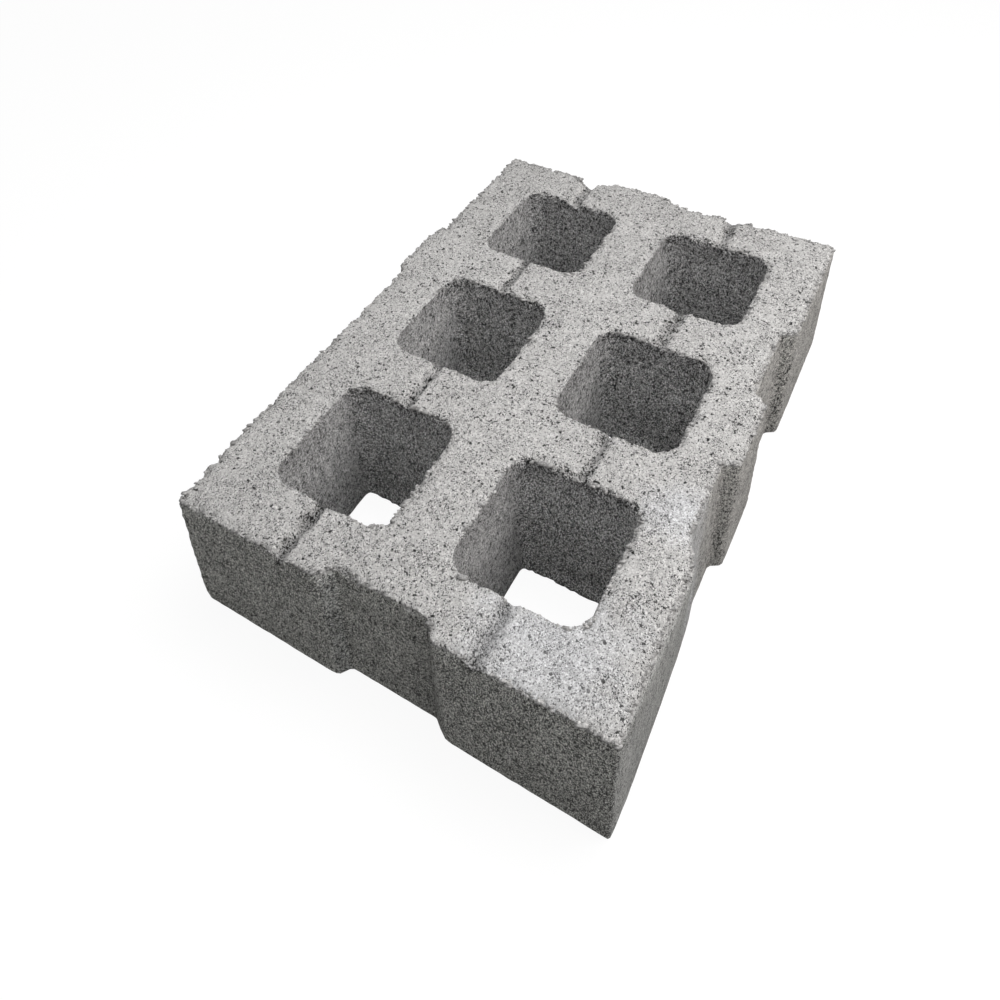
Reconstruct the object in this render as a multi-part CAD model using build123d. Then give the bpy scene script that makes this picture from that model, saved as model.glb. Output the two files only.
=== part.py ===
from build123d import *
from math import atan2, degrees
import os

# Grass paver block, cast in one piece: a thick slab with six tapered through cells for soil and grass.
# Keys on one end and one side, and recesses on the edges opposite, lock it to its neighbours.
# Shallow water grooves run across the cross webs and the end webs on the top face.
# Frame: X along the length, Y across, Z up; the origin is the middle of the slab on its bed face.

os.makedirs("parts", exist_ok=True)

# Slab without its keys, in mm
length = 600.0
width = 400.0
height = 140.0
corner_radius = 2.5
upright_radius = 4.0
rim_bevel = 2.0

# Webs at the top face: at the ends, between cells along the length, at the sides and down the middle
end_web = 57.0
cross_web = 58.5
side_web = 54.25
middle_web = 59.5

# Cells take what the webs leave; their cores are drawn upwards, so each wall leans in from the top to the bed
cells_along = 3
cells_across = 2
cell_top_radius = 20.0
cell_wall_lean = 10.0
cell_top_x = (length - 2 * end_web - (cells_along - 1) * cross_web) / cells_along
cell_top_y = (width - 2 * side_web - (cells_across - 1) * middle_web) / cells_across
cell_pitch_x = cell_top_x + cross_web
cell_pitch_y = cell_top_y + middle_web

# Keys: one on the +X end and one on the +Y side; the mould leaves them smaller at the top
key_base_width = 94.0
key_crest_width = 76.0
key_reach = 10.0
key_lean = 2.0

# Recesses: one in the -X end and two in the -Y side take a neighbour's keys; they are deepest at the top
recess_mouth_width = 104.0
recess_floor_width = 86.0
recess_depth = 14.0
recess_lean = 3.0

# Side recesses lie in line with the cross webs, the end recess in line with the middle web.
# Each key stands a little off the middle of the recess that it fits, within the recess's play.
side_key_offset = -5.0
end_key_offset = 4.0

# Water grooves: one V across every web in line with the middle of each cell row
groove_width = 14.0
groove_depth = 6.0
groove_bottom_radius = 2.5

root = 12.0
overrun = 5.0


def draft(lean):
    """The angle of a wall that leans by this much over the slab's height, in degrees."""
    return degrees(atan2(lean, height))


def trapezoid(base, crest, reach):
    """A key's plan: its base on the X axis, its crest towards +Y, with a root behind the base."""
    return make_face(Polyline(
        (-base / 2, -root),
        (base / 2, -root),
        (base / 2, 0),
        (crest / 2, reach),
        (-crest / 2, reach),
        (-base / 2, 0),
        close=True,
    ))


def key_body():
    """A key as tall as the slab, standing out towards +Y; its root is inside the slab."""
    plan = trapezoid(key_base_width, key_crest_width, key_reach)
    return extrude(plan, height, dir=(0, 0, 1), taper=draft(key_lean))


def recess_body():
    """The space of a recess, its floor towards +Y, drawn down from the slab's top and past its bed."""
    plan = Pos(0, 0, height) * trapezoid(recess_mouth_width, recess_floor_width, recess_depth)
    return extrude(plan, height + overrun, dir=(0, 0, -1), taper=draft(recess_lean))


def cell_body():
    """One cell's space: rounded square, widest at the top, drawn down past the bed."""
    plan = Pos(0, 0, height) * RectangleRounded(cell_top_x, cell_top_y, cell_top_radius)
    return extrude(plan, height + overrun, dir=(0, 0, -1), taper=draft(cell_wall_lean))


def groove_body():
    """A V groove along X, cut from above, with a rounded bottom."""
    slope = groove_width / 2 / groove_depth
    profile = make_face(Polyline(
        (-groove_width / 2 - overrun * slope, overrun),
        (0, -groove_depth),
        (groove_width / 2 + overrun * slope, overrun),
        close=True,
    ))
    lowest = profile.vertices().sort_by(Axis.Y)[0]
    profile = fillet(lowest, groove_bottom_radius)
    reach = length / 2 + key_reach + overrun
    return extrude(Plane.YZ * profile, reach, both=True)


def upright_edges(solid):
    """Every edge that runs most of the way from the bed to the top."""
    return [edge for edge in solid.edges() if abs((edge @ 1 - edge @ 0).Z) > height / 2]


def at_corner(edge):
    """Whether an upright edge is at one of the slab's four outer corners."""
    middle = edge @ 0.5
    return abs(middle.X) > length / 2 - overrun and abs(middle.Y) > width / 2 - overrun


cross_web_places = [(web - (cells_along - 2) / 2) * cell_pitch_x for web in range(cells_along - 1)]
cell_places = [
    ((column - (cells_along - 1) / 2) * cell_pitch_x, (row - (cells_across - 1) / 2) * cell_pitch_y)
    for column in range(cells_along)
    for row in range(cells_across)
]
groove_places = sorted({y for _, y in cell_places})

block = Pos(0, 0, height / 2) * Box(length, width, height)
block += Pos(cross_web_places[-1] + side_key_offset, width / 2, 0) * key_body()
block += Pos(length / 2, end_key_offset, 0) * Rot(0, 0, -90) * key_body()
for x in cross_web_places:
    block -= Pos(x, -width / 2, 0) * recess_body()
block -= Pos(-length / 2, 0, 0) * Rot(0, 0, -90) * recess_body()

block = fillet([edge for edge in upright_edges(block) if not at_corner(edge)], upright_radius)
block = fillet([edge for edge in upright_edges(block) if at_corner(edge)], corner_radius)

for x, y in cell_places:
    block -= Pos(x, y, 0) * cell_body()

top_rims = block.faces().sort_by(Axis.Z)[-1].edges()
block = chamfer(top_rims, rim_bevel)

for y in groove_places:
    block -= Pos(0, y, height) * groove_body()

block = block.solid()
block.label = "grass_paver_block"
export_step(block, "parts/grass_paver_block.step")
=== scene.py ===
"""Grass paver block: dry-cast concrete with an open grain and crumbled rims, on a pale studio floor."""

import math
import random

import bmesh
import bpy
import numpy as np
from bpy.props import FloatProperty, FloatVectorProperty, IntProperty, PointerProperty
from mathutils import Matrix, Quaternion, Vector, geometry, kdtree, noise


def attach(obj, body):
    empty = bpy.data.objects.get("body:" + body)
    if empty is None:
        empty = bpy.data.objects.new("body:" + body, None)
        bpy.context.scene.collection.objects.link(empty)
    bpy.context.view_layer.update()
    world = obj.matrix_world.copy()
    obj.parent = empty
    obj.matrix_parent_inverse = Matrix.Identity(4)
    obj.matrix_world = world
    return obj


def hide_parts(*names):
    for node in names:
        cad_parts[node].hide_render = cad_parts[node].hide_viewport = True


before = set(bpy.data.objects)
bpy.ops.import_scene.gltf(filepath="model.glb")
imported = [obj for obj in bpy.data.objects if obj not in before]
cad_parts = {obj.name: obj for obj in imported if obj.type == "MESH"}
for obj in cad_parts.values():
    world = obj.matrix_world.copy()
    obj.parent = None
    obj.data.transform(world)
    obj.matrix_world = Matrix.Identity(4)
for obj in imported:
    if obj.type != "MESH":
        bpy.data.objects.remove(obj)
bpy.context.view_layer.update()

bl_info = {
    "name": "Grass paver block",
    "version": (1, 0, 0),
    "blender": (4, 5, 0),
    "location": "3D View > Sidebar > Paver",
    "description": "Casts a grass paver block with crumbled rims and sets its studio",
    "category": "Object",
}

NODE = "grass_paver_block"
MM = 0.001


# Sizes and finishes that a user would change

def size_property(name, description, default_mm):
    """A length property, given in millimetres and kept in metres."""
    return FloatProperty(
        name=name, description=description, default=default_mm * MM, unit="LENGTH", min=0.0)


def count_property(name, description, default):
    """A whole number that can't be negative."""
    return IntProperty(name=name, description=description, default=default, min=0)


def colour_property(name, description, default):
    """A colour, as linear values."""
    return FloatVectorProperty(
        name=name, description=description, default=default, subtype="COLOR", size=3, min=0.0, max=1.0)


class PaverBlockSettings(bpy.types.PropertyGroup):
    """Sizes of the casting: its plan is the frame's own, its rims and grooves are this worn block's."""
    length: size_property("Length", "Slab length without its key", 600.0)
    width: size_property("Width", "Slab width without its key", 400.0)
    height: size_property("Height", "Slab height", 140.0)
    end_web: size_property("End web", "Web at each end, at the top", 57.0)
    cross_web: size_property("Cross web", "Web between cells along the length, at the top", 58.5)
    side_web: size_property("Side web", "Web at each side, at the top", 54.25)
    middle_web: size_property("Middle web", "Web down the middle, at the top", 59.5)
    cell_radius: size_property("Cell radius", "Corner radius of a cell at the top", 20.0)
    cell_lean: size_property("Cell lean", "How far a cell's wall leans in at the bed", 10.0)
    upright_radius: size_property("Upright radius", "Radius of keys' and recesses' upright corners", 4.0)
    outer_radius: size_property("Outer radius", "Radius of the slab's four outer corners", 1.6)
    key_base: size_property("Key base", "Width of a key at its base", 94.0)
    key_crest: size_property("Key crest", "Width of a key at its crest", 76.0)
    key_reach: size_property("Key reach", "How far a key stands out at the bed", 10.0)
    key_lean: size_property("Key lean", "How much less a key stands out at the top", 2.0)
    side_key_offset: size_property("Side key offset", "Side key off the far cross web, nearer", 5.0)
    end_key_offset: size_property("End key offset", "End key off the middle web", 4.0)
    recess_mouth: size_property("Recess mouth", "Width of a recess at its mouth", 104.0)
    recess_floor: size_property("Recess floor", "Width of a recess at its floor", 86.0)
    recess_depth: size_property("Recess depth", "Depth of a recess at the top", 14.0)
    recess_lean: size_property("Recess lean", "How much shallower a recess is at the bed", 3.0)
    groove_width: size_property("Groove width", "Width of a water groove", 16.0)
    groove_depth: size_property("Groove depth", "Depth of a water groove", 8.0)
    rim_round: size_property("Rim round", "Worn rounding of the top rims", 1.6)
    rim_crumble: size_property("Rim crumble", "How deep grains have broken out of the rims", 0.75)
    right_round: size_property("Right round", "Worn rounding of the right long rim, where it is most", 17.0)
    grain_relief: size_property("Grain relief", "Height of the open grain on the top face", 0.3)
    pits: count_property("Pits", "Holes that grains have left along the rims", 950)
    groove_pits: count_property("Groove pits", "Holes that grains have left in the grooves", 420)
    rim_spacing: size_property("Rim spacing", "Mesh spacing along the rims", 1.75)
    plate_spacing: size_property("Plate spacing", "Mesh spacing on the top face", 2.9)
    seed: count_property("Seed", "Seed of every random draw", 7)


class PaverGritSettings(bpy.types.PropertyGroup):
    """Coarse sand grains that stand out of the rims."""
    count: count_property("Grains", "Grains along the rims", 3300)
    smallest: size_property("Smallest", "Smallest grain radius", 0.7)
    largest: size_property("Largest", "Largest grain radius", 2.0)


class PaverFinishSettings(bpy.types.PropertyGroup):
    """Colours of the concrete, as linear values."""
    paste: colour_property("Open face", "Mean colour of the open top face", (0.468, 0.461, 0.453))
    formed: colour_property("Formed face", "Mean colour of the right side", (0.425, 0.414, 0.396))
    formed_near: colour_property(
        "Formed face, near", "Mean colour of the right side towards the near end", (0.371, 0.372, 0.361))
    formed_end: colour_property("Formed end", "Mean colour of the other sides", (0.425, 0.422, 0.400))
    cored: colour_property("Cored face", "Mean colour of the cell walls", (0.440, 0.436, 0.434))
    bloom: colour_property("Lime bloom", "Pale lime blotches on the top face", (0.575, 0.580, 0.600))


class PaverStageSettings(bpy.types.PropertyGroup):
    """Camera, lamps and floor."""
    camera_place: FloatVectorProperty(
        name="Camera place", description="Where the camera stands", subtype="TRANSLATION", size=3,
        default=(-0.5883, -0.2829, 0.7746))
    camera_turn: FloatVectorProperty(
        name="Camera turn", description="Camera rotation as XYZ angles", subtype="EULER", size=3,
        default=(math.radians(55.31), math.radians(2.01), math.radians(-59.48)))
    camera_lens: FloatProperty(name="Lens", description="Focal length on a 36 mm sensor", default=33.35)
    camera_shift: FloatVectorProperty(
        name="Shift", description="Sideways and vertical lens shift of the photo's framing", size=2,
        default=(0.03, -0.3))
    side_power: FloatProperty(name="Side lamp", description="Right lamp's power in watts", default=11.6)
    top_power: FloatProperty(name="Top lamp", description="Upper lamp's power in watts", default=8.0)
    sky_level: FloatProperty(name="Sky level", description="Light from all round", default=0.38)


# Plan outlines of the casting; the material lies on the left of each run

def side_run(start, along, out, steps):
    """Corners of one straight side with its keys and recesses, and what kind of edge starts at each."""
    start, along, out = Vector(start), Vector(along), Vector(out)
    corners = [(start, "wall")]
    for middle, base, crest, reach, kind in steps:
        corners.append((start + along * (middle - base / 2), kind))
        corners.append((start + along * (middle - crest / 2) + out * reach, kind))
        corners.append((start + along * (middle + crest / 2) + out * reach, kind))
        corners.append((start + along * (middle + base / 2), "wall"))
    return corners


def slab_outline(s):
    """The slab's own outline at the top, with keys at their full reach and recesses at their full depth."""
    half_x, half_y = s.length / 2, s.width / 2
    web_x = web_place(s)
    end_key = (half_y + s.end_key_offset, s.key_base, s.key_crest, s.key_reach, "key")
    side_key = (half_x - web_x + s.side_key_offset, s.key_base, s.key_crest, s.key_reach, "key")
    recesses = [
        (half_x + x, s.recess_mouth, s.recess_floor, -s.recess_depth, "recess")
        for x in (-web_x, web_x)
    ]
    end_recess = (half_y, s.recess_mouth, s.recess_floor, -s.recess_depth, "recess")
    return (
        side_run((half_x, -half_y), (0, 1), (1, 0), [end_key])
        + side_run((half_x, half_y), (-1, 0), (0, 1), [side_key])
        + side_run((-half_x, half_y), (0, -1), (-1, 0), [end_recess])
        + side_run((-half_x, -half_y), (1, 0), (0, -1), recesses)
    )


def cell_size(s):
    """A cell's length and width at the top."""
    return (
        (s.length - 2 * s.end_web - 2 * s.cross_web) / 3,
        (s.width - 2 * s.side_web - s.middle_web) / 2,
    )


def web_place(s):
    """How far each cross web's middle line is from the middle of the length."""
    return (cell_size(s)[0] + s.cross_web) / 2


def mouth_run(s):
    """How far a recess's flank runs along its side for each unit of depth."""
    return (s.recess_mouth - s.recess_floor) / 2 / s.recess_depth


def cell_places(s):
    """Middles of the six cells."""
    long_side, short_side = cell_size(s)
    pitch_x, pitch_y = long_side + s.cross_web, short_side + s.middle_web
    return [(column * pitch_x, row * pitch_y) for column in (-1, 0, 1) for row in (-0.5, 0.5)]


def cell_outline(s, place):
    """A cell's outline, run clockwise so that the material stays on its left."""
    half_x, half_y = cell_size(s)[0] / 2, cell_size(s)[1] / 2
    x, y = place
    corners = ((-half_x, -half_y), (-half_x, half_y), (half_x, half_y), (half_x, -half_y))
    return [(Vector((x + a, y + b)), "cell") for a, b in corners]


def all_outlines(s):
    """The slab's own outline and those of the six cells."""
    return [slab_outline(s)] + [cell_outline(s, place) for place in cell_places(s)]


def lean_at(s, kind, drop):
    """How far an edge has moved into the material at this drop below the top."""
    share = drop / s.height
    return {
        "wall": 0.0,
        "key": s.key_lean * (1 - share),
        "recess": -s.recess_lean * share,
        "cell": -s.cell_lean * share,
    }[kind]


def crossing(p, d, q, e):
    """Where the line through p along d meets the line through q along e."""
    return p + d * ((q - p).cross(e) / d.cross(e))


def ring(s, outline, counts, drop, inset):
    """Points of one outline at a drop below the top, moved into the material by inset."""
    total = len(outline)
    lines = []
    for i, (corner, kind) in enumerate(outline):
        direction = (outline[(i + 1) % total][0] - corner).normalized()
        left = Vector((-direction.y, direction.x))
        lines.append((corner + left * (inset + lean_at(s, kind, drop)), direction))
    arcs = []
    for i in range(total):
        radius = corner_radius(s, outline, i, drop)
        (p, d), (q, e) = lines[i - 1], lines[i]
        corner = crossing(p, d, q, e)
        turn = math.atan2(d.cross(e), d.dot(e))
        bend = radius - inset if turn > 0 else radius + inset
        bend = max(bend, 0.4 * MM)
        reach = bend * math.tan(abs(turn) / 2)
        side = math.copysign(1.0, turn)
        centre = corner - d * reach + Vector((-d.y, d.x)) * side * bend
        spoke = corner - d * reach - centre
        arcs.append((centre, spoke, turn))
    points = []
    for i in range(total):
        centre, spoke, turn = arcs[i]
        arc_steps, straight_steps = counts[i]
        for k in range(arc_steps + 1):
            points.append(centre + Matrix.Rotation(turn * k / arc_steps, 2) @ spoke)
        after_centre, after_spoke, _ = arcs[(i + 1) % total]
        begin, end = points[-1], after_centre + after_spoke
        for k in range(1, straight_steps):
            points.append(begin.lerp(end, k / straight_steps))
    return np.array(points)


def corner_radius(s, outline, i, drop=0.0):
    """Radius of an outline's corner at a drop below the top."""
    if outline[i][1] == "cell":
        return s.cell_radius - s.cell_lean * drop / s.height
    plain = outline[i][1] == "wall" and outline[i - 1][1] == "wall"
    return s.outer_radius if plain else s.upright_radius


def ring_counts(s, outline, spacing):
    """Steps in each corner and each straight, even in all so that the walls can halve them."""
    total = len(outline)
    counts = []
    for i in range(total):
        radius = corner_radius(s, outline, i)
        corner = outline[i][0]
        before = (corner - outline[i - 1][0]).normalized()
        after = outline[(i + 1) % total][0] - corner
        turn = abs(math.atan2(before.cross(after), before.dot(after)))
        arc_steps = max(2, 2 * round(radius * turn / spacing / 2))
        straight_steps = max(2, 2 * round((after.length - 1.5 * radius) / spacing / 2))
        counts.append((arc_steps, straight_steps))
    return counts


# Mesh parts of the casting

# Rings of the mesh: in from the rim on the top, as shares of the rim's round, and down the wall
TOP_INSETS = (8.0 * MM, 5.4 * MM, 3.2 * MM)
RIM_STEPS = (0.0, 0.16, 0.5, 0.84, 1.0)
UPPER_DROPS = (3.2 * MM, 5.6 * MM, 8.8 * MM)
FIRST_WALL_DROP = 12.5 * MM
WALL_ROWS = 28
BED_BEVEL = 1.0 * MM
# Mesh spacing on the bed, and how far a face's inner points keep from its edge
BED_SPACING = 22 * MM
EDGE_CLEARANCE = 1.3 * MM


def rim_rings(s):
    """(drop, inset) of the fine rings, from the top face round the rim and a little down the wall."""
    rings = [(0.0, inset) for inset in TOP_INSETS]
    for step in RIM_STEPS:
        angle = step * math.pi / 2
        rings.append((s.rim_round * (1 - math.cos(angle)), s.rim_round * (1 - math.sin(angle))))
    return rings + [(drop, 0.0) for drop in UPPER_DROPS]


def wall_rings(s):
    """(drop, inset) of the coarser rings down the wall to the bed's edge."""
    way = s.height - 3.0 * MM - FIRST_WALL_DROP
    rings = [(FIRST_WALL_DROP + way * k / (WALL_ROWS - 1), 0.0) for k in range(WALL_ROWS)]
    return rings + [(s.height - BED_BEVEL, 0.0), (s.height, BED_BEVEL)]


def inside(points, polygon):
    """Which points lie inside a closed polygon."""
    result = np.zeros(len(points), bool)
    x, y = points[:, 0], points[:, 1]
    following = np.roll(polygon, -1, axis=0)
    for (ax, ay), (bx, by) in zip(polygon, following):
        if ay == by:
            continue
        crosses = (ay > y) != (by > y)
        result ^= crosses & (x < (bx - ax) * (y - ay) / (by - ay) + ax)
    return result


def hex_grid(low, high, spacing, rng):
    """A jittered grid of points in staggered rows."""
    rows = []
    row_gap = spacing * math.sqrt(3) / 2
    for number, y in enumerate(np.arange(low[1], high[1], row_gap)):
        x = np.arange(low[0] + (number % 2) * spacing / 2, high[0], spacing)
        rows.append(np.column_stack([x, np.full(len(x), y)]))
    points = np.concatenate(rows)
    return points + rng.uniform(-0.18, 0.18, points.shape) * spacing


def groove_rows(s):
    """Middle lines of the two runs of grooves."""
    return sorted({place[1] for place in cell_places(s)})


def plate_points(s, boundary, spacing, rng):
    """Points inside a face: a jittered grid, on the top with straight rows along the grooves."""
    half_x, half_y = s.length / 2 + s.key_reach, s.width / 2 + s.key_reach
    points = hex_grid((-half_x, -half_y), (half_x, half_y), spacing, rng)
    if spacing < BED_SPACING:
        band = s.groove_width * 0.72
        for row in groove_rows(s):
            points = points[np.abs(points[:, 1] - row) > band]
            x = np.arange(-half_x, half_x, spacing * 0.62)
            for number, y in enumerate(np.linspace(-band, band, 13)):
                stagger = (number % 2) * spacing * 0.31
                points = np.concatenate([points, np.column_stack([x + stagger, np.full(len(x), row + y)])])
    keep = inside(points, boundary[0])
    for hole in boundary[1:]:
        keep &= ~inside(points, hole)
    points = points[keep]
    edge = np.concatenate(boundary)
    flat = np.column_stack([points, np.zeros(len(points))])
    clear = distance_to(flat, np.column_stack([edge, np.zeros(len(edge))])) > EDGE_CLEARANCE
    return points[clear]


def fill_face(boundary_rings, extra):
    """Triangles of a flat face between closed rings of vertex numbers, with extra points inside."""
    flat, ids, edges = [], [], []
    for points, numbers in boundary_rings:
        first = len(flat)
        flat += [Vector(p) for p in points]
        ids += list(numbers)
        count = len(points)
        edges += [(first + i, first + (i + 1) % count) for i in range(count)]
    inner_first = len(flat)
    flat += [Vector(p) for p in extra]
    made = geometry.delaunay_2d_cdt(flat, edges, [], 1, 1e-9)
    if len(made[0]) != len(flat):
        raise RuntimeError("The face filling merged or added points")
    source = [origin[0] for origin in made[3]]
    middles = np.array([sum((made[0][k] for k in triangle), Vector((0, 0))) / 3 for triangle in made[2]])
    in_material = np.ones(len(middles), bool)
    for points, _ in boundary_rings[1:]:
        in_material &= ~inside(middles, points)
    triangles = [triangle for triangle, kept in zip(made[2], in_material) if kept]
    return source, inner_first, ids, triangles


class Casting:
    """Collects the vertices and faces of the block."""

    def __init__(self):
        self.points = []
        self.faces = []

    def add_ring(self, plan, height):
        """Adds a plan's points at one height and returns their numbers."""
        first = len(self.points)
        self.points += [(x, y, height) for x, y in plan]
        return list(range(first, first + len(plan)))

    def join(self, upper, lower):
        """Quads between two rings with the same number of points."""
        count = len(upper)
        for i in range(count):
            j = (i + 1) % count
            self.faces.append((upper[i], lower[i], lower[j], upper[j]))

    def join_half(self, upper, lower):
        """Triangles from a ring to one with half as many points."""
        count = len(upper)
        for i in range(len(lower)):
            a, b, c = upper[2 * i], upper[2 * i + 1], upper[(2 * i + 2) % count]
            p, q = lower[i], lower[(i + 1) % len(lower)]
            self.faces += [(a, p, b), (b, p, q), (b, q, c)]

    def fill(self, rings, plans, extra, height, upward):
        """The top face or the bed."""
        source, inner_first, ids, triangles = fill_face(list(zip(plans, rings)), extra)
        number = ids + self.add_ring(extra, height)
        for triangle in triangles:
            corner = [number[source[k]] for k in triangle]
            self.faces.append(tuple(corner if upward else reversed(corner)))


def cast_plain(s, rng):
    """The casting with crisp faces: points in metres and faces."""
    casting = Casting()
    top_plans, top_rings, bed_plans, bed_rings = [], [], [], []
    for outline in all_outlines(s):
        counts = ring_counts(s, outline, s.rim_spacing)
        before = None
        for drop, inset in rim_rings(s):
            plan = ring(s, outline, counts, drop, inset)
            numbers = casting.add_ring(plan, s.height - drop)
            if before is None:
                top_plans.append(plan)
                top_rings.append(numbers)
            else:
                casting.join(before, numbers)
            before = numbers
        for row, (drop, inset) in enumerate(wall_rings(s)):
            plan = ring(s, outline, counts, drop, inset)[::2]
            numbers = casting.add_ring(plan, s.height - drop)
            if row == 0:
                casting.join_half(before, numbers)
            else:
                casting.join(before, numbers)
            before = numbers
        bed_plans.append(plan)
        bed_rings.append(before)
    top_extra = plate_points(s, top_plans, s.plate_spacing, rng)
    casting.fill(top_rings, top_plans, top_extra, s.height, True)
    bed_extra = plate_points(s, bed_plans, BED_SPACING, rng)
    casting.fill(bed_rings, bed_plans, bed_extra, 0.0, False)
    return np.array(casting.points), casting.faces


# Relief of the casting

def field(points, grain, seed):
    """Smooth noise from -1 to 1 at each point, with features about one grain wide."""
    shift = Vector((seed * 13.7, seed * 7.1, seed * 3.3))
    scale = 1.0 / grain
    return np.array([noise.noise(Vector(p) * scale + shift) for p in points])


def soft_step(low, high, values):
    """0 below low, 1 above high, smooth between."""
    t = np.clip((values - low) / (high - low), 0, 1)
    return t * t * (3 - 2 * t)


def search_tree(points):
    """A tree that finds the nearest of some points."""
    tree = kdtree.KDTree(len(points))
    for i, point in enumerate(points):
        tree.insert(point, i)
    tree.balance()
    return tree


def distance_to(points, targets):
    """Distance from each point to the nearest target."""
    tree = search_tree(targets)
    return np.array([tree.find(p)[2] for p in points])


# How deep each web's groove still is, near end to far end, on the right and on the left
GROOVE_LEFT = ((0.65, 0.4, 0.5, 0.8), (1.3, 0.6, 0.5, 1.4))
# How far a groove's bottom wanders off its line
GROOVE_WANDER = 2.0 * MM
# How wide each flank is for half the groove's width: the left one, and the right one in each row
GENTLE_SHARE = 1.25
STEEP_SHARE = (1.1, 0.8)


def groove_depth_at(s, points):
    """Depth of the water grooves under each plan point: gentle on one flank, steep on the other."""
    x, y = points[:, 0], points[:, 1]
    depth = np.zeros(len(points))
    reach = cell_size(s)[0] + s.cross_web
    web = np.clip(np.round((x + 1.5 * reach) / reach), 0, 3).astype(int)
    for row, middle in enumerate(groove_rows(s)):
        half = s.groove_width / 2
        band = np.flatnonzero(np.abs(y - middle) < 1.6 * half)
        left = np.array(GROOVE_LEFT[row])[web[band]]
        wander = GROOVE_WANDER * (field(points[band], 13 * MM, 8) + 0.6 * field(points[band], 5 * MM, 9))
        across = y[band] - middle - wander
        flank = np.where(across > 0, across / (half * GENTLE_SHARE), -across / (half * STEEP_SHARE[row]))
        lasting = 0.9 + 0.3 * field(points[band], 16 * MM, 10)
        depth[band] += s.groove_depth * left * lasting * np.clip(1 - flank, 0, 1)
    return depth


def carve_grooves(s, points):
    """Lowers the top, and the wall under it, along the grooves."""
    drop = s.height - points[:, 2]
    share = np.clip(1 - drop / (16 * MM), 0, 1)
    points[:, 2] -= groove_depth_at(s, points) * share


# Where the far end's top edge still stands, across the width: places in y and in x, in millimetres
FAR_EDGE_Y = (-108, -96, -90, -80, -74, -62, -50, -30, -14, -4, 20, 45, 56, 68, 79, 84, 95, 103, 116)
FAR_EDGE_X = (300, 299, 295, 294, 298, 297, 295, 296, 298, 305, 307, 306, 305, 299, 292, 288, 289, 295, 300)
# How far down that wear reaches
FAR_WEAR_HEIGHT = 45 * MM
# The near left corner: how deep and how long its left edge is worn, and the size of the chip at its bed
CORNER_WEAR = 4.8 * MM
CORNER_WEAR_LENGTH = 85 * MM
BED_CHIP = 7 * MM
# How thick the burr at the bed of the far cell walls is
CORE_BURR = 3.0 * MM
# The right side from the near corner into the near recess: places in x, and how far in it stands, in mm
RIGHT_SIDE_X = (-300, -265, -200, -160, -150, -142.75, -133.75, -127, -120, -107, -92, -80)
RIGHT_STILL_TOP = (0, 0, 0, 0, 1.5, 4.5, 9, 13, 14, 14, 14, 14)
RIGHT_STILL_BED = (0, 0, 2.4, 4.5, 4.9, 5.3, 5.9, 6.5, 7.0, 8.4, 11, 11)
# How much of its worn rounding the right rim has at places in x, in millimetres
RIGHT_ROUND_X = (-300, -265, -220, -150, -125, -60, 100, 300)
RIGHT_ROUND_SHARE = (0.35, 0.65, 1.0, 0.75, 0.5, 0.45, 0.4, 0.3)
# The end recess's right mouth at the bed: places in y, and how far in it stands, in millimetres
MOUTH_Y = (-63, -58, -53, -48, -44.5, -42)
MOUTH_STILL_BED = (0, 0.7, 3.8, 7.5, 10.2, 11)


def along_profile(values, places, reaches):
    """A profile's reach at each value, from its places and its reaches in millimetres."""
    return np.interp(values, np.array(places) * MM, np.array(reaches) * MM)


def wear_ends(s, points):
    """Crumbles the far end and the near left corner, and wears the right side and the end recess."""
    drop = s.height - points[:, 2]
    x, y = points[:, 0].copy(), points[:, 1].copy()
    still = along_profile(y, FAR_EDGE_Y, FAR_EDGE_X)
    sound = np.interp(y, *far_edge_plan(s))
    worn = (y > FAR_EDGE_Y[0] * MM) & (y < FAR_EDGE_Y[-1] * MM)
    reach = np.clip((x - s.length / 2 + 22 * MM) / (22 * MM), 0, 1) * worn
    points[:, 0] += (still - sound) * reach * near(drop, FAR_WEAR_HEIGHT)
    along = np.clip(1 - (x + s.length / 2) / CORNER_WEAR_LENGTH, 0, 1)
    edge = np.clip((y - s.width / 2 + 18 * MM) / (18 * MM), 0, 1)
    wavy = 0.8 + 0.7 * field(points, 22 * MM, 11) + 0.6 * field(points, 8 * MM, 12)
    points[:, 1] -= CORNER_WEAR * wavy * edge * soft_step(0, 0.6, along) * near(drop, 70 * MM)
    wear_right_side(s, points)
    round_right_rim(s, points)
    wear_end_mouth(s, points)
    chip = np.maximum(BED_CHIP - np.linalg.norm(points - (-s.length / 2, s.width / 2, 0.0), axis=1), 0)
    points[:, 1] -= 0.4 * chip
    points[:, 0] += 0.2 * chip


def wear_right_side(s, points):
    """Draws the right side in towards the near recess, where the photo shows its mouth blunted."""
    x, up = points[:, 0], points[:, 2] / s.height
    still_top = along_profile(x, RIGHT_SIDE_X, RIGHT_STILL_TOP)
    still_bed = along_profile(x, RIGHT_SIDE_X, RIGHT_STILL_BED)
    run = mouth_run(s)
    lean = s.recess_lean * (1 - up)
    mouth_x = -web_place(s) - s.recess_mouth / 2 + lean * math.hypot(run, 1)
    sound = np.clip((x - mouth_x) / run, 0, s.recess_depth - lean)
    still = still_top * up + still_bed * (1 - up)
    share = side_share(points[:, 1], s.width)
    points[:, 1] += np.where(x < RIGHT_SIDE_X[-1] * MM, still - sound, 0) * share


def side_share(values, size):
    """1 on the slab's near or right face and 0 well inside it, so that only the face is drawn in."""
    return np.clip((-size / 2 + 34 * MM - values) / (19 * MM), 0, 1)


def right_edge(s, x):
    """How far in from the slab's side its top right edge stands at each place in x."""
    into = (s.recess_mouth / 2 - np.abs(np.abs(x) - web_place(s))) / mouth_run(s)
    sound = np.clip(into, 0, s.recess_depth)
    still = along_profile(x, RIGHT_SIDE_X, RIGHT_STILL_TOP)
    return np.where(x < RIGHT_SIDE_X[-1] * MM, still, sound)


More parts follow.
